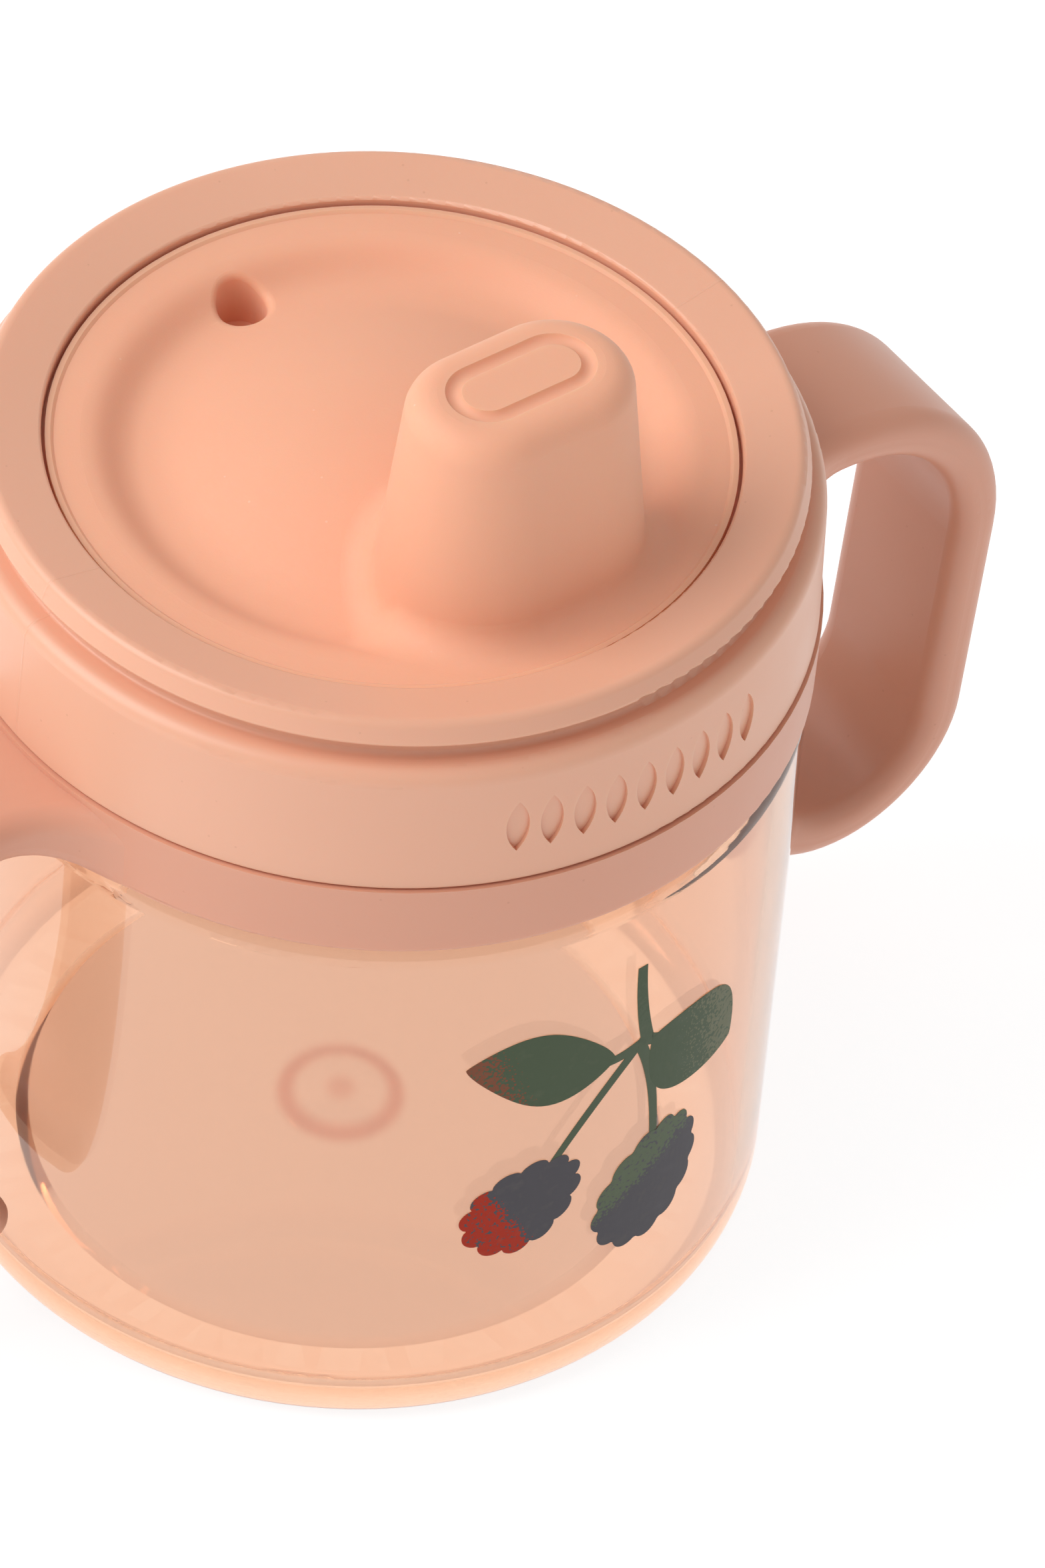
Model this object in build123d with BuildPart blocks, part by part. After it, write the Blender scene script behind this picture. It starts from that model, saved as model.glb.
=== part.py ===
from build123d import *
import os
from math import asin, cos, degrees, pi, radians, sin

# Two-handled toddler cup with a screw collar and a soft spout insert.
# Millimetres, +Z up, origin at the centre of the base. The handles lie along X
# and the spout stands on the -Y side of the lid.

# ---- cup ----
CUP_TOP_R = 40.4             # outside radius just under the shoulder
CUP_TAPER = 0.8              # how much wider the wall is at the base
CUP_WALL = 2.0
CUP_FLOOR = 2.6
CUP_CORNER_R = 3.4           # corner between wall and base, inside and outside
SHOULDER_Z = 65.5            # flat ledge that carries the handle ring
LEDGE_W = 5.2                # from the wall in to the neck
SHOULDER_R = 2.5             # rounding between the wall and the ledge
SHOULDER_INNER_R = 1.5
FOOT_WIDTH = 6.0             # flat ring that the cup stands on
BASE_RECESS = 1.2            # height of the hollow inside the foot ring
GATE_DOME_R = 6.2            # shallow dome over the moulding gate
GATE_DOME_RISE = 0.9

# ---- neck and thread ----
NECK_WALL = 2.0
PITCH = 4.5
THREAD_HEIGHT = 1.6          # how far a ridge stands out of its wall
THREAD_ROOT_W = 2.4
THREAD_CREST_W = 1.2
THREAD_TURNS = 1.25
THREAD_GAP = 0.4             # radial clearance at crest and root
THREAD_INSET = 0.25          # from the collar's bottom edge up to its ridge
NECK_LEAD = 2.875            # plain neck above the ridge
BITE = 0.3                   # how deep a ridge is rooted in its wall

# ---- screw collar ----
SEAT_GAP = 0.1               # between clamped faces of neighbouring pieces
SKIRT_WALL = 2.7             # outside the thread's root, at the top of the skirt
SKIRT_FLARE = 0.6            # how much wider the skirt is at the bottom
COLLAR_SHOULDER_EDGE_R = 1.6
GROOVE_H = 2.0               # cap groove between the rim and the shoulder
GROOVE_WALL = 1.6            # between the groove's floor and the cavity
GROOVE_FLOOR_EDGE_R = 0.5
RIM_OVERHANG = 1.4           # how far the rim stands out over the groove
RIM_LIP = 0.4                # rim's lower edge above its underside
RIM_OPENING_H = 1.6          # top edge of the opening above the rim's underside
RIM_CREST_H = 2.8            # crest above the rim's underside
RIM_CREST_INSET = 1.0        # crest in from the rim's side
RIM_CREST_EDGE_R = 0.9
RIM_COVER = 3.1              # how far the rim covers the insert's flange
SMALL_EDGE_R = 0.35
CAVITY_GAP = 0.4             # between the collar's cavity and the insert flange
CAVITY_TAPER = 1.8           # height of the cone between the thread and the cavity
GRIP_MARKS = 9               # shallow leaf-shaped dimples under the spout
GRIP_STEP_DEG = 4.6
GRIP_MIDDLE_DEG = -90.0
GRIP_W = 2.2
GRIP_H = 6.0
GRIP_DEPTH = 0.35
GRIP_RISE = 6.7              # middle of a dimple above the collar's bottom edge

# ---- spout insert ----
FLANGE_INSET = 0.2           # flange in from the neck's outside
FLANGE_T = 1.8
DISC_GAP = 0.35              # between the disc and the rim opening
DISC_STEP = 0.7              # flat annulus above the rim's underside
EDGE_BEAD = 0.25             # raised thin edge round the disc
EDGE_BEAD_W = 0.5
EDGE_BEAD_SLOPE = 0.3
ANNULUS_W = 3.2              # from the disc's edge to the start of the trough
TROUGH_IN = 8.75             # from the disc's edge in to the trough's lowest line
TROUGH_DEPTH = 2.1
DOME_RISE = 3.0              # middle of the disc above the annulus
DOME_FOOT_W = 4.0            # hollow blend between the dome and the trough's lowest line
DOME_FOOT_H = 0.9
INSERT_T = 1.9
PLUG_GAP = 0.3               # between the plug skirt and the neck's bore
PLUG_T = 1.7
PLUG_DEPTH = 2.7             # how far the plug reaches down into the neck
SPOUT_HEIGHT = 22.2          # above the flat annulus
SPOUT_IN = 4.6               # spout's root in from the trough
SPOUT_LEAN = 0.8             # top of the spout in from its root
SPOUT_TOP_L = 10.7           # half length along X at the top
SPOUT_TOP_W = 6.9            # half width along Y at the top
SPOUT_ROOT_L = 13.4
SPOUT_ROOT_W = 9.8
SPOUT_WALL = 1.8
SPOUT_TOP_T = 1.9
SPOUT_EDGE_R = 2.8
SPOUT_FLARE_R = 3.4
UPWARD = 0.7                 # a face whose normal rises more than this is on top
LIP_GROOVE_L = 6.7           # half length of the oval groove on the spout's top
LIP_GROOVE_W = 3.0
LIP_GROOVE_R = 0.3
LIP_GROOVE_DEPTH = 0.5
VENT_OUT = 1.2               # vent's centre out from the trough
VENT_R = 2.4
VENT_WALL = 1.2
VENT_MOUTH_EDGE_R = 0.8
VENT_PIP_R = 0.6             # air hole in the vent's thin floor
VENT_FLOOR_T = 0.8
VENT_DEPTH = 4.2

# ---- handle ring ----
RING_GAP = 0.3               # round the neck ridge's crest
RING_LIFT = 0.2              # clearance over the shoulder
RING_H = 7.9
RING_STEP = 0.3              # ring's outside out from the collar's bottom edge
RING_EDGE_R = 0.5
HANDLE_REACH = 28.6          # widest point of a handle out from the ring
HANDLE_WIDTH = 17.4
HANDLE_T = 5.2
HANDLE_DROP = 0.6            # handle's top under the ring's top
HANDLE_SHOULDER_R = 21.6     # outside arc at the top
HANDLE_HOOK_R = 14.4         # outside arc at the bottom
HANDLE_HOOK_DROP = 45.4      # centre of the hook under the handle's top
HANDLE_HOOK_DEG = 126.0      # where the hook ends, turned down from level
HANDLE_LEAN_DEG = 2.6        # the grip leans in towards the bottom
HANDLE_EDGE_R = 2.2
HANDLE_CUP_GAP = 0.9         # between the handle's root and the cup's wall
HANDLE_ROOT_IN = 1.0         # how far the handle reaches into the ring
SIDE_TILT = 0.1              # a face whose normal is nearly level is a side of the handle
HANDLE_FLARE_R = 11.0        # rounding in plan between the ring and a handle's side
HANDLE_SINK = 0.1            # the rounding runs out this far under the ring's surface

# ---- worked out from the above: radii, from the neck outwards ----
CUP_BASE_R = CUP_TOP_R + CUP_TAPER
NECK_R = CUP_TOP_R - LEDGE_W
NECK_BORE_R = NECK_R - NECK_WALL
NECK_CREST_R = NECK_R + THREAD_HEIGHT
COLLAR_ROOT_R = NECK_CREST_R + THREAD_GAP
COLLAR_SHOULDER_R = COLLAR_ROOT_R + SKIRT_WALL
COLLAR_BOTTOM_R = COLLAR_SHOULDER_R + SKIRT_FLARE
FLANGE_R = NECK_R - FLANGE_INSET
CAVITY_R = FLANGE_R + CAVITY_GAP
GROOVE_R = CAVITY_R + GROOVE_WALL
RIM_R = GROOVE_R + RIM_OVERHANG
RIM_CREST_R = RIM_R - RIM_CREST_INSET
RIM_OPENING_R = FLANGE_R - RIM_COVER
DISC_R = RIM_OPENING_R - DISC_GAP
TROUGH_R = DISC_R - TROUGH_IN
VENT_Y = TROUGH_R + VENT_OUT
SPOUT_ROOT_Y = SPOUT_IN - TROUGH_R
SPOUT_TOP_Y = SPOUT_ROOT_Y + SPOUT_LEAN
PLUG_R = NECK_BORE_R - PLUG_GAP
RING_R = NECK_CREST_R + RING_GAP
RING_OUTER_R = COLLAR_BOTTOM_R + RING_STEP
HANDLE_OUTER_X = RING_OUTER_R + HANDLE_REACH

# ---- heights, from the shoulder upwards ----
RING_BOTTOM_Z = SHOULDER_Z + RING_LIFT
RING_TOP_Z = RING_BOTTOM_Z + RING_H
HANDLE_TOP_Z = RING_TOP_Z - HANDLE_DROP
HANDLE_HOOK_Z = HANDLE_TOP_Z - HANDLE_HOOK_DROP
COLLAR_BOTTOM_Z = RING_TOP_Z + SEAT_GAP
COLLAR_RIDGE_Z = COLLAR_BOTTOM_Z + THREAD_ROOT_W / 2 + THREAD_INSET
GRIP_Z = COLLAR_BOTTOM_Z + GRIP_RISE
THREAD_Z = COLLAR_RIDGE_Z + PITCH / 2
NECK_TOP_Z = THREAD_Z + PITCH * THREAD_TURNS + THREAD_ROOT_W / 2 + NECK_LEAD
PLUG_BOTTOM_Z = NECK_TOP_Z - PLUG_DEPTH
FLANGE_BOTTOM_Z = NECK_TOP_Z + SEAT_GAP
FLANGE_TOP_Z = FLANGE_BOTTOM_Z + FLANGE_T
CAVITY_BOTTOM_Z = FLANGE_BOTTOM_Z - CAVITY_TAPER
RIM_UNDERSIDE_Z = FLANGE_TOP_Z + SEAT_GAP
RIM_BOTTOM_Z = RIM_UNDERSIDE_Z + RIM_LIP
RIM_OPENING_Z = RIM_UNDERSIDE_Z + RIM_OPENING_H
RIM_CREST_Z = RIM_UNDERSIDE_Z + RIM_CREST_H
COLLAR_SHOULDER_Z = RIM_BOTTOM_Z - GROOVE_H
DISC_Z = RIM_UNDERSIDE_Z + DISC_STEP
TROUGH_Z = DISC_Z - TROUGH_DEPTH
DOME_Z = DISC_Z + DOME_RISE
SPOUT_TOP_Z = DISC_Z + SPOUT_HEIGHT


def ridge_outline(wall_r, outward):
    """Corner points of a thread ridge in (radius, height), rooted in a wall."""
    root = wall_r - outward * BITE
    crest = wall_r + outward * THREAD_HEIGHT
    half_root = THREAD_ROOT_W / 2
    half_crest = THREAD_CREST_W / 2
    return [(root, -half_root), (wall_r, -half_root), (crest, -half_crest),
            (crest, half_crest), (wall_r, half_root), (root, half_root)]


os.makedirs("parts", exist_ok=True)

# ---- cup: one moulded shell with its neck and an outside thread ----
foot_r = CUP_BASE_R - CUP_CORNER_R
with BuildPart() as cup:
    with BuildSketch(Plane.XZ) as cup_section:
        with BuildLine():
            TangentArc((0, BASE_RECESS + GATE_DOME_RISE), (GATE_DOME_R, BASE_RECESS), tangent=(1, 0))
            Polyline(
                (GATE_DOME_R, BASE_RECESS),
                (foot_r - FOOT_WIDTH - BASE_RECESS, BASE_RECESS),
                (foot_r - FOOT_WIDTH, 0),
                (CUP_BASE_R, 0),
                (CUP_TOP_R, SHOULDER_Z),
                (NECK_R, SHOULDER_Z),
                (NECK_R, NECK_TOP_Z),
                (NECK_BORE_R, NECK_TOP_Z),
                (NECK_BORE_R, SHOULDER_Z - CUP_WALL),
                (CUP_TOP_R - CUP_WALL, SHOULDER_Z - CUP_WALL),
                (CUP_BASE_R - CUP_WALL, CUP_FLOOR),
                (GATE_DOME_R, CUP_FLOOR),
            )
            TangentArc((0, CUP_FLOOR + GATE_DOME_RISE), (GATE_DOME_R, CUP_FLOOR), tangent=(1, 0))
            Line((0, CUP_FLOOR + GATE_DOME_RISE), (0, BASE_RECESS + GATE_DOME_RISE))
        make_face()
        for corner, radius in (
            ((CUP_BASE_R, 0), CUP_CORNER_R),
            ((CUP_BASE_R - CUP_WALL, CUP_FLOOR), CUP_CORNER_R),
            ((CUP_TOP_R, SHOULDER_Z), SHOULDER_R),
            ((CUP_TOP_R - CUP_WALL, SHOULDER_Z - CUP_WALL), SHOULDER_INNER_R),
        ):
            fillet(cup_section.vertices().sort_by_distance(corner)[0], radius)
    revolve(axis=Axis.Z)
    with BuildLine() as cup_helix:
        Helix(PITCH, PITCH * THREAD_TURNS, NECK_R, center=(0, 0, THREAD_Z))
    with BuildSketch(Plane.XZ.shift_origin((0, 0, THREAD_Z))):
        with BuildLine():
            Polyline(*ridge_outline(NECK_R, 1), close=True)
        make_face()
    sweep(path=cup_helix.wire(), is_frenet=True)
cup.part.label = "cup"
export_step(cup.part, "parts/cup.step")

# ---- screw collar: rim, cap groove and skirt in one moulding ----
skirt_slope = (COLLAR_BOTTOM_R - COLLAR_SHOULDER_R) / (COLLAR_SHOULDER_Z - COLLAR_BOTTOM_Z)
grip_r = COLLAR_BOTTOM_R - skirt_slope * (GRIP_Z - COLLAR_BOTTOM_Z)
with BuildPart() as screw_collar:
    with BuildSketch(Plane.XZ) as collar_section:
        with BuildLine():
            Polyline(
                (RIM_OPENING_R, RIM_UNDERSIDE_Z),
                (RIM_OPENING_R, RIM_OPENING_Z),
                (RIM_CREST_R, RIM_CREST_Z),
                (RIM_R, RIM_BOTTOM_Z),
                (GROOVE_R, RIM_BOTTOM_Z),
                (GROOVE_R, COLLAR_SHOULDER_Z),
                (COLLAR_SHOULDER_R, COLLAR_SHOULDER_Z),
                (COLLAR_BOTTOM_R, COLLAR_BOTTOM_Z),
                (COLLAR_ROOT_R, COLLAR_BOTTOM_Z),
                (COLLAR_ROOT_R, CAVITY_BOTTOM_Z - CAVITY_TAPER),
                (CAVITY_R, CAVITY_BOTTOM_Z),
                (CAVITY_R, RIM_UNDERSIDE_Z),
                close=True,
            )
        make_face()
        for corner, radius in (
            ((RIM_OPENING_R, RIM_OPENING_Z), SMALL_EDGE_R),
            ((RIM_CREST_R, RIM_CREST_Z), RIM_CREST_EDGE_R),
            ((RIM_R, RIM_BOTTOM_Z), SMALL_EDGE_R),
            ((GROOVE_R, COLLAR_SHOULDER_Z), GROOVE_FLOOR_EDGE_R),
            ((COLLAR_SHOULDER_R, COLLAR_SHOULDER_Z), COLLAR_SHOULDER_EDGE_R),
            ((COLLAR_BOTTOM_R, COLLAR_BOTTOM_Z), SMALL_EDGE_R),
        ):
            fillet(collar_section.vertices().sort_by_distance(corner)[0], radius)
    revolve(axis=Axis.Z)
    with BuildLine() as collar_helix:
        Helix(PITCH, PITCH * THREAD_TURNS, COLLAR_ROOT_R, center=(0, 0, COLLAR_RIDGE_Z))
    with BuildSketch(Plane.XZ.shift_origin((0, 0, COLLAR_RIDGE_Z))):
        with BuildLine():
            Polyline(*ridge_outline(COLLAR_ROOT_R, -1), close=True)
        make_face()
    sweep(path=collar_helix.wire(), is_frenet=True)
    for index in range(GRIP_MARKS):
        angle = GRIP_MIDDLE_DEG + (index - (GRIP_MARKS - 1) / 2) * GRIP_STEP_DEG
        outward = Vector(1, 0, 0).rotate(Axis.Z, angle)
        floor = Plane(
            origin=outward * (grip_r - GRIP_DEPTH) + Vector(0, 0, GRIP_Z),
            x_dir=Vector(0, 1, 0).rotate(Axis.Z, angle),
            z_dir=outward,
        )
        with BuildSketch(floor):
            with BuildLine():
                ThreePointArc((0, -GRIP_H / 2), (GRIP_W / 2, 0), (0, GRIP_H / 2))
                ThreePointArc((0, GRIP_H / 2), (-GRIP_W / 2, 0), (0, -GRIP_H / 2))
            make_face()
        extrude(amount=2 * GRIP_DEPTH, mode=Mode.SUBTRACT)
screw_collar.part.label = "screw_collar"
export_step(screw_collar.part, "parts/screw_collar.step")

# ---- handle ring: a ring round the neck with two hooked handles ----
lean = radians(HANDLE_LEAN_DEG)
shoulder = Vector(HANDLE_OUTER_X - HANDLE_SHOULDER_R, HANDLE_TOP_Z - HANDLE_SHOULDER_R)
hook_drop = HANDLE_HOOK_Z - shoulder.Y
hook_shift = (HANDLE_SHOULDER_R - HANDLE_HOOK_R + hook_drop * sin(lean)) / cos(lean)
hook = Vector(shoulder.X + hook_shift, HANDLE_HOOK_Z)
hook_turn = HANDLE_HOOK_DEG - HANDLE_LEAN_DEG
hook_middle_r = HANDLE_HOOK_R - HANDLE_T / 2
tip_deg = HANDLE_HOOK_DEG + degrees(HANDLE_T / 2 / hook_middle_r)
hook_tip = hook + Vector(hook_middle_r, 0).rotate(Axis.Z, -tip_deg)
root_x = RING_OUTER_R - HANDLE_ROOT_IN
flare_x = RING_OUTER_R - HANDLE_FLARE_R / 2
root_run = shoulder.X - root_x
root_drop = HANDLE_TOP_Z - HANDLE_T - RING_BOTTOM_Z
under_r = (root_run**2 + root_drop**2) / (2 * root_drop)
under = Vector(shoulder.X, HANDLE_TOP_Z - HANDLE_T - under_r)
with BuildPart() as handle_ring:
    with BuildSketch(Plane.XZ) as handle_side:
        with BuildLine():
            top = Line((flare_x, HANDLE_TOP_Z), (shoulder.X, HANDLE_TOP_Z))
            outer_arc = CenterArc(shoulder, HANDLE_SHOULDER_R, 90, -90 - HANDLE_LEAN_DEG)
            outer_hook = CenterArc(hook, HANDLE_HOOK_R, -HANDLE_LEAN_DEG, -hook_turn)
            Line(outer_arc @ 1, outer_hook @ 0)
            inner_hook = CenterArc(hook, HANDLE_HOOK_R - HANDLE_T, -HANDLE_HOOK_DEG, hook_turn)
            ThreePointArc(outer_hook @ 1, hook_tip, inner_hook @ 0)
            inner_arc = CenterArc(shoulder, HANDLE_SHOULDER_R - HANDLE_T,
                                  -HANDLE_LEAN_DEG, 90 + HANDLE_LEAN_DEG)
            Line(inner_hook @ 1, inner_arc @ 0)
            bottom = CenterArc(under, under_r, 90, degrees(asin((shoulder.X - flare_x) / under_r)))
            Line(bottom @ 1, top @ 0)
        make_face()
    extrude(amount=RING_OUTER_R, both=True)
    with BuildSketch() as handle_plan:
        Circle(RING_OUTER_R - HANDLE_SINK)
        Rectangle(HANDLE_OUTER_X + HANDLE_T, HANDLE_WIDTH, align=(Align.MIN, Align.CENTER))
        corners = handle_plan.vertices().filter_by(lambda point: 0 < point.X < RING_OUTER_R)
        fillet(corners, HANDLE_FLARE_R)
    extrude(amount=HANDLE_TOP_Z, mode=Mode.INTERSECT)
    side_faces = handle_ring.faces().filter_by(
        lambda face: abs(face.normal_at().Z) < SIDE_TILT and abs(face.normal_at().Y) > SIDE_TILT
    )
    side_edges = side_faces.edges().filter_by(Axis.Z, reverse=True)
    fillet(side_edges, HANDLE_EDGE_R)
    mirror(about=Plane.YZ)
    with Locations((0, 0, RING_BOTTOM_Z)):
        Cylinder(CUP_BASE_R + HANDLE_CUP_GAP, RING_BOTTOM_Z,
                 align=(Align.CENTER, Align.CENTER, Align.MAX), mode=Mode.SUBTRACT)
    Cylinder(RING_R + HANDLE_ROOT_IN, 2 * HANDLE_TOP_Z, mode=Mode.SUBTRACT)
    with BuildSketch(Plane.XZ) as ring_section:
        with BuildLine():
            Polyline(
                (RING_R, RING_BOTTOM_Z),
                (RING_OUTER_R, RING_BOTTOM_Z),
                (RING_OUTER_R, RING_TOP_Z),
                (RING_R, RING_TOP_Z),
                close=True,
            )
        make_face()
        fillet(ring_section.vertices().sort_by_distance((RING_OUTER_R, RING_BOTTOM_Z))[0], RING_EDGE_R)
    revolve(axis=Axis.Z)
handle_ring.part.label = "handle_ring"
export_step(handle_ring.part, "parts/handle_ring.step")

# ---- spout insert: soft disc with spout, vent, clamped flange and plug ----
edge_top_z = DISC_Z + EDGE_BEAD
annulus_in_r = DISC_R - ANNULUS_W
dome_foot_r = TROUGH_R - DOME_FOOT_W
dome_foot_z = TROUGH_Z + DOME_FOOT_H
under_annulus_z = DISC_Z - INSERT_T
under_trough_z = TROUGH_Z - INSERT_T
under_dome_z = DOME_Z - INSERT_T
with BuildPart() as spout_insert:
    with BuildSketch(Plane.XZ) as disc_section:
        with BuildLine():
            dome = TangentArc((0, DOME_Z), (dome_foot_r, dome_foot_z), tangent=(1, 0))
            Spline(dome @ 1, (TROUGH_R, TROUGH_Z), tangents=[dome % 1, (1, 0)])
            Spline((TROUGH_R, TROUGH_Z), (annulus_in_r, DISC_Z), tangents=[(1, 0), (1, 0)])
            Polyline(
                (annulus_in_r, DISC_Z),
                (DISC_R - EDGE_BEAD_W - EDGE_BEAD_SLOPE, DISC_Z),
                (DISC_R - EDGE_BEAD_W, edge_top_z),
                (DISC_R, edge_top_z),
                (DISC_R, FLANGE_TOP_Z),
                (FLANGE_R, FLANGE_TOP_Z),
                (FLANGE_R, FLANGE_BOTTOM_Z),
                (PLUG_R, FLANGE_BOTTOM_Z),
                (PLUG_R, PLUG_BOTTOM_Z),
                (PLUG_R - PLUG_T, PLUG_BOTTOM_Z),
                (PLUG_R - PLUG_T, under_annulus_z),
                (annulus_in_r, under_annulus_z),
            )
            Spline((annulus_in_r, under_annulus_z), (TROUGH_R, under_trough_z), tangents=[(-1, 0), (-1, 0)])
            under_dome = TangentArc(
                (0, under_dome_z), (dome_foot_r, dome_foot_z - INSERT_T), tangent=(1, 0))
            Spline(under_dome @ 1, (TROUGH_R, under_trough_z), tangents=[under_dome % 1, (1, 0)])
            Line((0, under_dome_z), (0, DOME_Z))
        make_face()
    revolve(axis=Axis.Z)
    spout_root = Plane.XY.offset(TROUGH_Z - INSERT_T / 2)
    with BuildSketch(spout_root):
        with Locations((0, SPOUT_ROOT_Y)):
            SlotOverall(2 * SPOUT_ROOT_L, 2 * SPOUT_ROOT_W)
    with BuildSketch(Plane.XY.offset(SPOUT_TOP_Z)):
        with Locations((0, SPOUT_TOP_Y)):
            SlotOverall(2 * SPOUT_TOP_L, 2 * SPOUT_TOP_W)
    loft()
    upper_edges = spout_insert.faces().filter_by(lambda face: face.normal_at().Z > UPWARD).edges()
    root_edges = spout_insert.edges(Select.NEW).filter_by(lambda edge: edge in upper_edges)
    fillet(root_edges, SPOUT_FLARE_R)
    top_edges = spout_insert.faces().sort_by(Axis.Z)[-1].edges()
    fillet(top_edges, SPOUT_EDGE_R)
    # oval groove round the closed lip on the spout's top
    with BuildLine(Plane.XY.offset(SPOUT_TOP_Z + LIP_GROOVE_R)) as groove_path:
        straight = LIP_GROOVE_L - LIP_GROOVE_W
        top_run = Line((-straight, SPOUT_TOP_Y - LIP_GROOVE_W), (straight, SPOUT_TOP_Y - LIP_GROOVE_W))
        RadiusArc(top_run @ 1, (straight, SPOUT_TOP_Y + LIP_GROOVE_W), -LIP_GROOVE_W)
        back_run = Line((straight, SPOUT_TOP_Y + LIP_GROOVE_W), (-straight, SPOUT_TOP_Y + LIP_GROOVE_W))
        RadiusArc(back_run @ 1, top_run @ 0, -LIP_GROOVE_W)
    with BuildSketch(Plane(groove_path.wire() @ 0, z_dir=groove_path.wire() % 0)):
        Circle(LIP_GROOVE_R + LIP_GROOVE_DEPTH)
    sweep(path=groove_path.wire(), mode=Mode.SUBTRACT)
    # drinking passage, open below
    passage_bottom = Plane.XY.offset(PLUG_BOTTOM_Z)
    with BuildSketch(passage_bottom):
        with Locations((0, SPOUT_ROOT_Y)):
            SlotOverall(2 * (SPOUT_ROOT_L - SPOUT_WALL), 2 * (SPOUT_ROOT_W - SPOUT_WALL))
    with BuildSketch(Plane.XY.offset(SPOUT_TOP_Z - SPOUT_TOP_T)):
        with Locations((0, SPOUT_TOP_Y)):
            SlotOverall(2 * (SPOUT_TOP_L - SPOUT_WALL), 2 * (SPOUT_TOP_W - SPOUT_WALL))
    loft(mode=Mode.SUBTRACT)
    # vent: a short tube with a thin floor and an air hole
    vent_floor_z = TROUGH_Z - VENT_DEPTH
    with BuildSketch(Plane.XY.offset(vent_floor_z - VENT_FLOOR_T)):
        with Locations((0, VENT_Y)):
            Circle(VENT_R + VENT_WALL)
    extrude(until=Until.NEXT)
    with BuildSketch(Plane.XY.offset(vent_floor_z)):
        with Locations((0, VENT_Y)):
            Circle(VENT_R)
    extrude(amount=DISC_Z - vent_floor_z, mode=Mode.SUBTRACT)
    with BuildSketch(Plane.XY.offset(vent_floor_z)):
        with Locations((0, VENT_Y)):
            Circle(VENT_PIP_R)
    extrude(amount=-2 * VENT_FLOOR_T, mode=Mode.SUBTRACT)
    mouth_edges = spout_insert.edges().filter_by(
        lambda edge: edge.center().Z > TROUGH_Z - BITE
        and abs(edge.center().Y - VENT_Y) < VENT_R
        and edge.length < 4 * pi * VENT_R
    )
    fillet(mouth_edges, VENT_MOUTH_EDGE_R)
spout_insert.part.label = "spout_insert"
export_step(spout_insert.part, "parts/spout_insert.step")
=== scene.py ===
import math

import bmesh
import bpy
from mathutils import Matrix, Vector


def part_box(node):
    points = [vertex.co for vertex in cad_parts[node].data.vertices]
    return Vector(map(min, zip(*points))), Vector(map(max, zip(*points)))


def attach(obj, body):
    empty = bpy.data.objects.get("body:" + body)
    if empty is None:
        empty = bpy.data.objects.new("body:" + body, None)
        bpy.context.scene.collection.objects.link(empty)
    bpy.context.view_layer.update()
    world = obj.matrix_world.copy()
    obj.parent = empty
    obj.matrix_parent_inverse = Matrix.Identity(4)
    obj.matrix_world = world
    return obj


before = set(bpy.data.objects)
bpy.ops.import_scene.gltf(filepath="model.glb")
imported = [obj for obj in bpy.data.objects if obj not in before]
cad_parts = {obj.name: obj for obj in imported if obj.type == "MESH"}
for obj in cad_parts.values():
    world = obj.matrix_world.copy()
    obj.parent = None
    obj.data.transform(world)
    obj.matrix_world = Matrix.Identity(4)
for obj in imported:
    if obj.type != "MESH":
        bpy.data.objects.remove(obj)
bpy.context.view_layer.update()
MM = 0.001

# ---- camera: a three-quarter view from above, the spout towards the viewer ----
VIEW_AZIMUTH = math.radians(-40.0)
VIEW_ELEVATION = math.radians(46.04)
VIEW_ROLL = math.radians(5.69)
VIEW_DISTANCE = 0.765
VIEW_LENS = 193.7
SENSOR_WIDTH = 36
AIM = Vector((-0.0025, -0.0260, 0.0694))

# ---- studio ----
FLOOR_SIZE = 3.0
FLOOR_GLOW = 0.84
WORLD_LIGHT = 0.52
KEY_DIRECTION = Vector((-0.72, 0.34, 0.84))
KEY_DISTANCE = 1.2
KEY_SIZE = 0.9
KEY_POWER = 11.0

# ---- cup: its wall leans out a little towards the base, and the gate mark is at the base's centre, ringed with painted shade ----
CUP_TOP_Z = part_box("cup")[1][2]
WALL_TOP_R = 40.4 * MM
WALL_TAPER = 0.8 * MM
WALL_TOP_Z = 65.5 * MM
GATE_R = 5.4 * MM
GATE_PAINTED_SHADE_COLOUR = "E0835A"

# ---- print ----
INK_GAP = 0.015 * MM         # clear of the wall, so that no facet of it cuts the ink
LEAF_GAP = 1.4 * INK_GAP     # leaves lie over the stems
BERRY_GAP = 1.8 * INK_GAP    # berries lie over both
INK_T = 0.04 * MM
INK_STRIP = 0.8              # width of the strips that follow the wall, mm
CUT_DISTANCE = 1e-5
SPRIG_AZIMUTH = math.radians(-90)
PRINT_UNIT = 100             # mm of print in one unit of its UV map
DOT_SIZE = 0.34              # screen dots, mm, coarse enough to show
LEAF_SEGMENTS = 72
LEAF_FULLNESS = 0.8          # below 1 the leaf fills out towards its ends
LOBE_SEGMENTS = 10
LOBE_SHARPNESS = 0.7
BERRY_TAPER = 0.12
STEM_SEGMENTS = 18
AT_CENTRE = 1e-6
LEAF_GREEN = "47543E"
STEM_GREEN = "4C5843"
OLIVE = "66684F"
RUST = "7A4630"
SLATE = "4B484D"
BERRY_RED = "A32608"
MOSS = "55604A"
WORN_INK = "8D8775"


def linear(hex_colour):
    """Linear RGBA from an sRGB hex colour."""
    channels = []
    for i in (0, 2, 4):
        c = int(hex_colour[i:i + 2], 16) / 255
        channels.append(c / 12.92 if c <= 0.04045 else ((c + 0.055) / 1.055) ** 2.4)
    return (*channels, 1.0)


def per(size_mm):
    """Texture scale whose features are about this size."""
    return 1 / (size_mm * MM)


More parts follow.
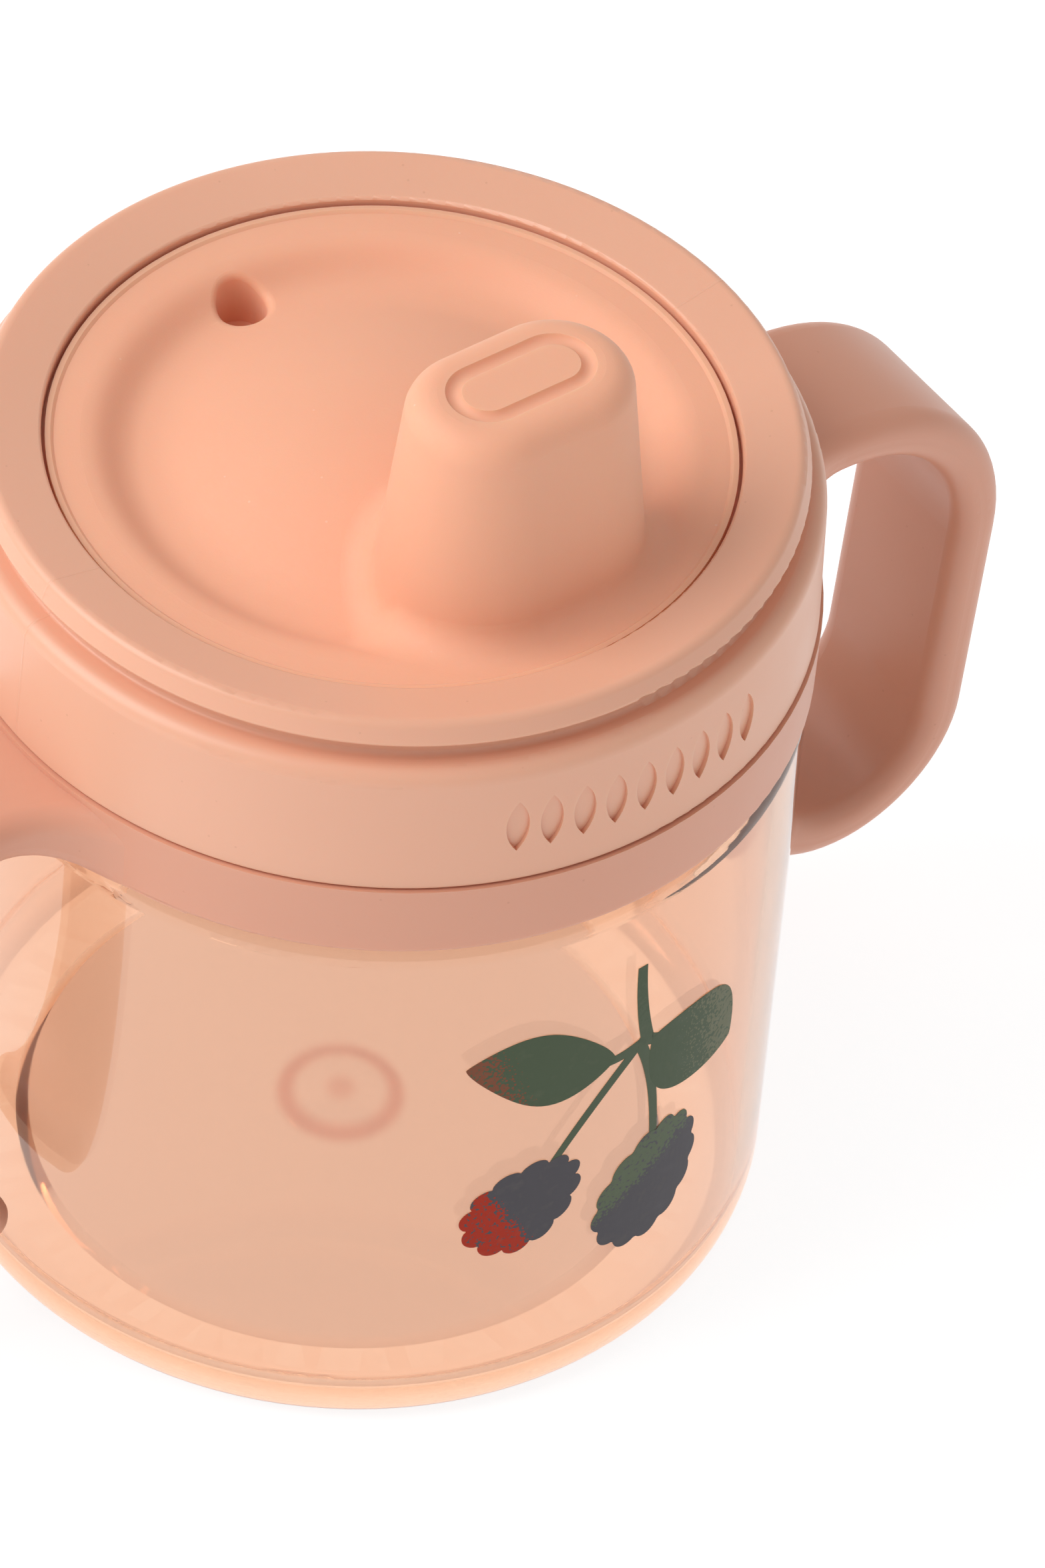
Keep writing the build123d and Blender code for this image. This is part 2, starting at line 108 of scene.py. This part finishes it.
def fill(tree, node, inputs):
    """Gives a node its inputs, each a value or the output that it is linked to."""
    for name, value in inputs.items():
        if isinstance(value, bpy.types.NodeSocket):
            tree.links.new(value, node.inputs[name])
        else:
            node.inputs[name].default_value = value


def add(tree, kind, inputs=None, **settings):
    """Adds a node with its settings and inputs."""
    node = tree.nodes.new(kind)
    for name, value in settings.items():
        setattr(node, name, value)
    fill(tree, node, inputs or {})
    return node


def new_material(name):
    """An empty material with its shader, and the piece's own coordinates."""
    material = bpy.data.materials.new(name)
    material.use_nodes = True
    tree = material.node_tree
    shader = tree.nodes["Principled BSDF"]
    place = add(tree, "ShaderNodeTexCoord").outputs["Object"]
    return material, tree, shader, place


# Satin polypropylene, injection moulded against a fine spark-eroded steel: a soft broad highlight
# that breaks up a little, a slow waviness from shrinking, and a milky depth at the edges.
def satin_polypropylene(name, body, shade, rough, parting):
    material, tree, shader, place = new_material(name)
    cloud = add(tree, "ShaderNodeTexNoise", {"Vector": place, "Scale": per(34), "Detail": 2.0})
    fleck = add(tree, "ShaderNodeTexVoronoi", {"Vector": place, "Scale": per(2.6)})
    speck = add(tree, "ShaderNodeMapRange", {"Value": fleck.outputs["Distance"], "From Min": 0.035,
                "From Max": 0.06, "To Min": 0.16, "To Max": 0.0})
    tone = add(tree, "ShaderNodeMix", {0: cloud.outputs["Fac"], 6: linear(body), 7: linear(shade)},
               data_type="RGBA")
    tinted = add(tree, "ShaderNodeMix", {0: speck.outputs["Result"], 6: tone.outputs[2],
                 7: linear("9A5A42")}, data_type="RGBA")
    mottle = add(tree, "ShaderNodeTexNoise", {"Vector": place, "Scale": per(6), "Detail": 4.0})
    polish = add(tree, "ShaderNodeMapRange", {"Value": mottle.outputs["Fac"], "To Min": rough - 0.06,
                 "To Max": rough + 0.06})
    grain = add(tree, "ShaderNodeTexNoise", {"Vector": place, "Scale": per(0.32), "Detail": 2.0})
    wave = add(tree, "ShaderNodeTexNoise", {"Vector": place, "Scale": per(11), "Detail": 1.0})
    slow = add(tree, "ShaderNodeBump", {"Height": wave.outputs["Fac"], "Strength": 0.10,
               "Distance": 0.35 * MM})
    fine = add(tree, "ShaderNodeBump", {"Height": grain.outputs["Fac"], "Strength": 0.16,
               "Distance": 0.035 * MM, "Normal": slow.outputs["Normal"]})
    surface = fine
    if parting:
        axes = add(tree, "ShaderNodeSeparateXYZ", {"Vector": place})
        aside = add(tree, "ShaderNodeMath", {0: axes.outputs["Y"]}, operation="ABSOLUTE")
        ridge = add(tree, "ShaderNodeMapRange", {"Value": aside.outputs[0], "From Min": 0.05 * MM,
                    "From Max": 0.16 * MM, "To Min": 1.0, "To Max": 0.0},
                    interpolation_type="SMOOTHSTEP")
        surface = add(tree, "ShaderNodeBump", {"Height": ridge.outputs["Result"], "Strength": 0.5,
                      "Distance": 0.06 * MM, "Normal": fine.outputs["Normal"]})
    fill(tree, shader, {
        "Base Color": tinted.outputs[2], "Roughness": polish.outputs["Result"], "IOR": 1.49,
        "Subsurface Weight": 0.20, "Subsurface Radius": (1.0, 0.45, 0.28), "Subsurface Scale": 2.4 * MM,
        "Normal": surface.outputs["Normal"],
    })
    return material


# Silicone rubber, moulded with a velvet finish: no sharp highlight, a pale bloom at grazing angles
# and light that glows orange through the thin wall of the spout.
def velvet_silicone(name, body, shade):
    material, tree, shader, place = new_material(name)
    cloud = add(tree, "ShaderNodeTexNoise", {"Vector": place, "Scale": per(26), "Detail": 3.0})
    tone = add(tree, "ShaderNodeMix", {0: cloud.outputs["Fac"], 6: linear(body), 7: linear(shade)},
               data_type="RGBA")
    fleck = add(tree, "ShaderNodeTexVoronoi", {"Vector": place, "Scale": per(3.4)})
    dust = add(tree, "ShaderNodeMapRange", {"Value": fleck.outputs["Distance"], "From Min": 0.02,
               "From Max": 0.045, "To Min": 0.25, "To Max": 0.0})
    dusted = add(tree, "ShaderNodeMix", {0: dust.outputs["Result"], 6: tone.outputs[2],
                 7: linear("FBE3D3")}, data_type="RGBA")
    mottle = add(tree, "ShaderNodeTexNoise", {"Vector": place, "Scale": per(5), "Detail": 4.0})
    matte = add(tree, "ShaderNodeMapRange", {"Value": mottle.outputs["Fac"], "To Min": 0.54,
                "To Max": 0.66})
    grain = add(tree, "ShaderNodeTexNoise", {"Vector": place, "Scale": per(0.28), "Detail": 3.0})
    wave = add(tree, "ShaderNodeTexNoise", {"Vector": place, "Scale": per(14), "Detail": 1.0})
    slow = add(tree, "ShaderNodeBump", {"Height": wave.outputs["Fac"], "Strength": 0.12,
               "Distance": 0.4 * MM})
    fine = add(tree, "ShaderNodeBump", {"Height": grain.outputs["Fac"], "Strength": 0.22,
               "Distance": 0.04 * MM, "Normal": slow.outputs["Normal"]})
    fill(tree, shader, {
        "Base Color": dusted.outputs[2], "Roughness": matte.outputs["Result"], "IOR": 1.42,
        "Sheen Weight": 0.07, "Sheen Roughness": 0.45, "Sheen Tint": linear("FFE9DC"),
        "Subsurface Weight": 0.40, "Subsurface Radius": (1.0, 0.42, 0.24), "Subsurface Scale": 3.6 * MM,
        "Normal": fine.outputs["Normal"],
    })
    return material


# Tinted copolyester, clear and polished: sharp reflections, a tint that deepens where the wall is
# seen edge on, and faint flow waves that bend what shows through.
def clear_copolyester(name, skin, depth_colour, depth):
    material, tree, shader, place = new_material(name)
    body = add(tree, "ShaderNodeVolumeAbsorption", {"Color": linear(depth_colour), "Density": depth})
    tree.links.new(body.outputs["Volume"], tree.nodes["Material Output"].inputs["Volume"])
    flow = add(tree, "ShaderNodeTexNoise", {"Vector": place, "Scale": per(22), "Detail": 1.0})
    bend = add(tree, "ShaderNodeBump", {"Height": flow.outputs["Fac"], "Strength": 0.06,
               "Distance": 0.4 * MM})
    handled = add(tree, "ShaderNodeTexNoise", {"Vector": place, "Scale": per(15), "Detail": 5.0,
                  "Roughness": 0.6})
    polish = add(tree, "ShaderNodeMapRange", {"Value": handled.outputs["Fac"], "From Min": 0.45,
                 "From Max": 0.8, "To Min": 0.015, "To Max": 0.07})
    # Painted shade: a deeper orange ring round the gate mark and a spot at its centre, low in the base,
    # stand in for the shading at the gate dome's step, which the wall's refraction hardly shows.
    level = add(tree, "ShaderNodeVectorMath", {0: place, 1: (1, 1, 0)}, operation="MULTIPLY")
    radius = add(tree, "ShaderNodeVectorMath", {0: level.outputs["Vector"]}, operation="LENGTH")
    off = add(tree, "ShaderNodeMath", {0: radius.outputs["Value"], 1: GATE_R}, operation="SUBTRACT")
    away = add(tree, "ShaderNodeMath", {0: off.outputs[0]}, operation="ABSOLUTE")
    gate_ring_shade = add(tree, "ShaderNodeMapRange", {"Value": away.outputs[0], "From Min": 0.0,
               "From Max": 1.6 * MM, "To Min": 0.6, "To Max": 0.0}, interpolation_type="SMOOTHSTEP")
    gate_pip_shade = add(tree, "ShaderNodeMapRange", {"Value": radius.outputs["Value"], "From Min": 0.5 * MM,
              "From Max": 2.2 * MM, "To Min": 0.4, "To Max": 0.0}, interpolation_type="SMOOTHSTEP")
    both = add(tree, "ShaderNodeMath", {0: gate_ring_shade.outputs["Result"], 1: gate_pip_shade.outputs["Result"]},
               operation="MAXIMUM")
    axes = add(tree, "ShaderNodeSeparateXYZ", {"Vector": place})
    low = add(tree, "ShaderNodeMapRange", {"Value": axes.outputs["Z"], "From Min": 4 * MM,
              "From Max": 6 * MM, "To Min": 1.0, "To Max": 0.0})
    gate_painted_shade = add(tree, "ShaderNodeMath", {0: both.outputs[0], 1: low.outputs["Result"]},
               operation="MULTIPLY")
    tint = add(tree, "ShaderNodeMix", {0: gate_painted_shade.outputs[0], 6: linear(skin), 7: linear(GATE_PAINTED_SHADE_COLOUR)},
               data_type="RGBA")
    fill(tree, shader, {
        "Base Color": tint.outputs[2], "Roughness": polish.outputs["Result"], "IOR": 1.55,
        "Transmission Weight": 0.93, "Normal": bend.outputs["Normal"],
    })
    return material


# Screen-printed ink, two colours laid one over the other: flat and nearly matte, with the second
# colour broken into dots where it fades.
def screen_ink(name, first, second, across, edge, fade):
    material, tree, shader, place = new_material(name)
    print_map = add(tree, "ShaderNodeUVMap", uv_map="print").outputs["UV"]
    along = add(tree, "ShaderNodeVectorMath", {0: print_map, 1: (*across, 0)}, operation="DOT_PRODUCT")
    dots = add(tree, "ShaderNodeTexVoronoi", {"Vector": print_map, "Scale": PRINT_UNIT / DOT_SIZE})
    depth = add(tree, "ShaderNodeMapRange", {"Value": along.outputs["Value"],
                "From Min": (edge - fade) / PRINT_UNIT,
                "From Max": edge / PRINT_UNIT, "To Min": 0.0, "To Max": 0.75})
    share = add(tree, "ShaderNodeMath", {0: depth.outputs["Result"], 1: dots.outputs["Distance"]},
                operation="GREATER_THAN")
    film = add(tree, "ShaderNodeTexNoise", {"Vector": place, "Scale": per(1.4), "Detail": 4.0})
    inked = add(tree, "ShaderNodeMix", {0: share.outputs[0], 6: linear(first), 7: linear(second)},
                data_type="RGBA")
    thin = add(tree, "ShaderNodeMapRange", {"Value": film.outputs["Fac"], "From Min": 0.55,
               "From Max": 0.85, "To Min": 0.0, "To Max": 0.12})
    worn = add(tree, "ShaderNodeMix", {0: thin.outputs["Result"], 6: inked.outputs[2],
               7: linear(WORN_INK)}, data_type="RGBA")
    rough = add(tree, "ShaderNodeMapRange", {"Value": film.outputs["Fac"], "To Min": 0.38,
                "To Max": 0.58})
    relief = add(tree, "ShaderNodeBump", {"Height": film.outputs["Fac"], "Strength": 0.2,
                 "Distance": 0.02 * MM})
    fill(tree, shader, {
        "Base Color": worn.outputs[2], "Roughness": rough.outputs["Result"], "IOR": 1.48,
        "Specular IOR Level": 0.15,
        "Normal": relief.outputs["Normal"],
    })
    return material


# Studio card: mid grey with a faint tooth, and a glow of its own that brings it up to white.
def studio_card(name):
    material, tree, shader, place = new_material(name)
    tooth = add(tree, "ShaderNodeTexNoise", {"Vector": place, "Scale": per(1.5), "Detail": 3.0})
    tone = add(tree, "ShaderNodeMix", {0: tooth.outputs["Fac"], 6: linear("949494"),
               7: linear("989898")}, data_type="RGBA")
    grain = add(tree, "ShaderNodeBump", {"Height": tooth.outputs["Fac"], "Strength": 0.05,
                "Distance": 0.05 * MM})
    fill(tree, shader, {
        "Base Color": tone.outputs[2], "Roughness": 0.9, "Normal": grain.outputs["Normal"],
        "Emission Color": linear("FFFFFF"), "Emission Strength": FLOOR_GLOW,
    })
    return material


def paint(obj, material):
    obj.data.materials.clear()
    obj.data.materials.append(material)


def make_camera():
    a, e = VIEW_AZIMUTH, VIEW_ELEVATION
    back = Vector((math.sin(a) * math.cos(e), -math.cos(a) * math.cos(e), math.sin(e)))
    level_right = Vector((math.cos(a), math.sin(a), 0))
    level_up = back.cross(level_right)
    right = level_right * math.cos(VIEW_ROLL) + level_up * math.sin(VIEW_ROLL)
    up = back.cross(right)
    data = bpy.data.cameras.new("camera")
    data.lens = VIEW_LENS
    data.sensor_width = SENSOR_WIDTH
    camera = bpy.data.objects.new("camera", data)
    bpy.context.scene.collection.objects.link(camera)
    place = AIM + back * VIEW_DISTANCE
    camera.matrix_world = Matrix((
        (right.x, up.x, back.x, place.x),
        (right.y, up.y, back.y, place.y),
        (right.z, up.z, back.z, place.z),
        (0, 0, 0, 1),
    ))
    bpy.context.scene.camera = camera


def finish_mesh(bm, name):
    """Turns a bmesh into an object at the origin."""
    bmesh.ops.recalc_face_normals(bm, faces=bm.faces[:])
    mesh = bpy.data.meshes.new(name)
    bm.to_mesh(mesh)
    bm.free()
    obj = bpy.data.objects.new(name, mesh)
    bpy.context.scene.collection.objects.link(obj)
    return obj


# ---- printed sprig: each piece is drawn flat, in mm round the wall and mm up it, then wrapped ----
def draw_disc(segments):
    """A filled disc of radius 1, fanned from its centre."""
    bm = bmesh.new()
    bmesh.ops.create_circle(bm, cap_ends=True, cap_tris=True, segments=segments, radius=1)
    return bm


def draw_leaf(base, tip, half_width, belly, wave):
    """A leaf from base to tip; belly above 1 moves its widest place towards the tip."""
    bm = draw_disc(LEAF_SEGMENTS)
    base, tip = Vector(base), Vector(tip)
    along = tip - base
    side = Vector((-along.y, along.x)).normalized()
    for v in bm.verts:
        t = (v.co.x + 1) / 2
        w = 0
        if 0 < t < 1 and v.co.xy.length > AT_CENTRE:
            w = math.copysign(math.sin(math.pi * t ** belly) ** LEAF_FULLNESS, v.co.y)
        spot = base + along * t + side * (w * half_width + wave * math.sin(2 * math.pi * t))
        v.co = (spot.x, spot.y, 0)
    return bm


def draw_berry(centre, half_length, half_width, lean, lobes, depth):
    """A berry with a lobed edge, longer along its lean."""
    bm = draw_disc(lobes * LOBE_SEGMENTS)
    turn = math.radians(lean)
    for v in bm.verts:
        angle = math.atan2(v.co.y, v.co.x)
        lobe = abs(math.sin(lobes * angle / 2)) ** LOBE_SHARPNESS
        reach = v.co.xy.length * (1 - depth + depth * lobe)
        x = reach * math.cos(angle) * half_length
        y = reach * math.sin(angle) * half_width * (1 - BERRY_TAPER * math.cos(angle))
        v.co = (centre[0] + x * math.cos(turn) - y * math.sin(turn),
                centre[1] + x * math.sin(turn) + y * math.cos(turn), 0)
    return bm


def draw_stem(start, bend, end, start_width, end_width):
    """A stem that runs in one curve, from start towards bend and on to end."""
    bm = bmesh.new()
    bmesh.ops.create_grid(bm, x_segments=STEM_SEGMENTS, y_segments=1, size=1)
    start, bend, end = Vector(start), Vector(bend), Vector(end)
    for v in bm.verts:
        t = (v.co.x + 1) / 2
        spot = start * (1 - t) ** 2 + bend * (2 * t * (1 - t)) + end * t ** 2
        way = (bend - start) * (1 - t) + (end - bend) * t
        side = Vector((-way.y, way.x)).normalized()
        spot += side * (v.co.y * (start_width * (1 - t) + end_width * t) / 2)
        v.co = (spot.x, spot.y, 0)
    return bm


def wall_radius(z):
    """Radius of the cup's outer wall at a height."""
    return WALL_TOP_R + WALL_TAPER * (1 - z / WALL_TOP_Z)


def wrap(bm, name, lift):
    """Cuts a flat drawing into upright strips, lays it round the wall and gives it thickness."""
    low = min(v.co.x for v in bm.verts)
    high = max(v.co.x for v in bm.verts)
    for i in range(1, int((high - low) / INK_STRIP) + 1):
        bmesh.ops.bisect_plane(bm, geom=bm.verts[:] + bm.edges[:] + bm.faces[:], dist=CUT_DISTANCE,
                               plane_co=(low + i * INK_STRIP, 0, 0), plane_no=(1, 0, 0))
    for v in bm.verts:
        angle = SPRIG_AZIMUTH + v.co.x * MM / WALL_TOP_R
        z = v.co.y * MM
        r = wall_radius(z) + lift
        v.co = (r * math.cos(angle), r * math.sin(angle), z)
    bmesh.ops.recalc_face_normals(bm, faces=bm.faces[:])
    if sum(f.normal.dot(f.calc_center_median()) for f in bm.faces) < 0:
        bmesh.ops.reverse_faces(bm, faces=bm.faces[:])
    bmesh.ops.solidify(bm, geom=bm.faces[:], thickness=-INK_T)
    prints = bm.loops.layers.uv.new("print")
    for face in bm.faces:
        for loop in face.loops:
            x, y, z = loop.vert.co
            turn = math.atan2(y, x) - SPRIG_AZIMUTH
            loop[prints].uv = (turn * WALL_TOP_R / MM / PRINT_UNIT, z / MM / PRINT_UNIT)
    return finish_mesh(bm, name)


def join(*drawings):
    """Puts several flat drawings in one."""
    whole = bmesh.new()
    for bm in drawings:
        mesh = bpy.data.meshes.new("part_drawing")
        bm.to_mesh(mesh)
        bm.free()
        whole.from_mesh(mesh)
        bpy.data.meshes.remove(mesh)
    return whole


def make_sprig():
    stems = join(
        draw_stem((1.8, 55.8), (2.0, 50.0), (3.4, 44.8), 1.1, 1.5),
        draw_stem((3.9, 45.6), (1.2, 44.4), (-1.4, 44.6), 1.4, 1.0),
        draw_stem((2.9, 45.6), (3.6, 44.6), (5.2, 44.2), 1.5, 1.2),
        draw_stem((3.0, 45.6), (-2.2, 40.6), (-6.2, 33.6), 1.2, 0.8),
        draw_stem((2.2, 45.4), (4.6, 40.6), (5.3, 31.0), 1.3, 0.9),
    )
    pieces = (
        (wrap(stems, "sprig_stems", INK_GAP), STEM_GREEN, LEAF_GREEN, (0, 1), 52, 8),
        (wrap(draw_leaf((-0.4, 44.7), (-15.8, 49.0), 4.5, 0.95, 0.5), "sprig_leaf_left", LEAF_GAP),
         LEAF_GREEN, RUST, (-0.92, -0.38), -5.0, 4.5),
        (wrap(draw_leaf((4.0, 44.8), (16.2, 35.6), 5.5, 1.0, -0.4), "sprig_leaf_right", LEAF_GAP),
         LEAF_GREEN, OLIVE, (1, 0.1), 19, 9),
        (wrap(draw_berry((-8.9, 28.5), 6.8, 5.3, 45, 12, 0.12), "sprig_berry_left", BERRY_GAP),
         SLATE, BERRY_RED, (-0.86, -0.5), -4.2, 1.5),
        (wrap(draw_berry((5.5, 24.0), 8.0, 6.3, 68, 13, 0.11), "sprig_berry_right", BERRY_GAP),
         SLATE, MOSS, (-0.5, 0.86), 20.6, 2.4),
    )
    for piece, first, second, across, edge, fade in pieces:
        paint(piece, screen_ink("ink_" + piece.name, first, second, across, edge, fade))
        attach(piece, "cup_body")


def make_studio():
    bm = bmesh.new()
    bmesh.ops.create_grid(bm, x_segments=2, y_segments=2, size=FLOOR_SIZE)
    floor = finish_mesh(bm, "floor")
    paint(floor, studio_card("white_studio_card"))
    world = bpy.data.worlds.new("studio_world")
    bpy.context.scene.world = world
    world.use_nodes = True
    air = world.node_tree
    seen = add(air, "ShaderNodeLightPath").outputs["Is Camera Ray"]
    glow = add(air, "ShaderNodeMapRange", {"Value": seen, "To Min": WORLD_LIGHT, "To Max": 1.0})
    air.nodes["Background"].inputs["Color"].default_value = linear("FFFFFF")
    air.links.new(glow.outputs["Result"], air.nodes["Background"].inputs["Strength"])
    light = bpy.data.lights.new("key_softbox", "AREA")
    light.size = KEY_SIZE
    light.energy = KEY_POWER
    key = bpy.data.objects.new("key_softbox", light)
    bpy.context.scene.collection.objects.link(key)
    aim = Vector((0, 0, CUP_TOP_Z / 2))
    place = aim + KEY_DIRECTION.normalized() * KEY_DISTANCE
    facing = (place - aim).to_track_quat("Z", "Y").to_matrix().to_4x4()
    key.matrix_world = Matrix.Translation(place) @ facing
    bpy.context.scene.view_settings.view_transform = "Standard"


make_camera()
make_studio()
paint(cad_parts["screw_collar"],
      satin_polypropylene("satin_polypropylene_collar", "E9B195", "E3A88B", 0.36, True))
# Painted shade: the handle ring is the collar's plastic painted a shade darker, for the shade it sits
# in below the collar.
paint(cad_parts["handle_ring"],
      satin_polypropylene("satin_polypropylene_handles_painted_shade", "DDA086", "D6977D", 0.40, False))
paint(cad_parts["spout_insert"],
      velvet_silicone("velvet_silicone_insert", "F3B393", "EDAA8B"))
paint(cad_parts["cup"], clear_copolyester("clear_copolyester_cup", "FFEADC", "F8CF9E", 175))
make_sprig()
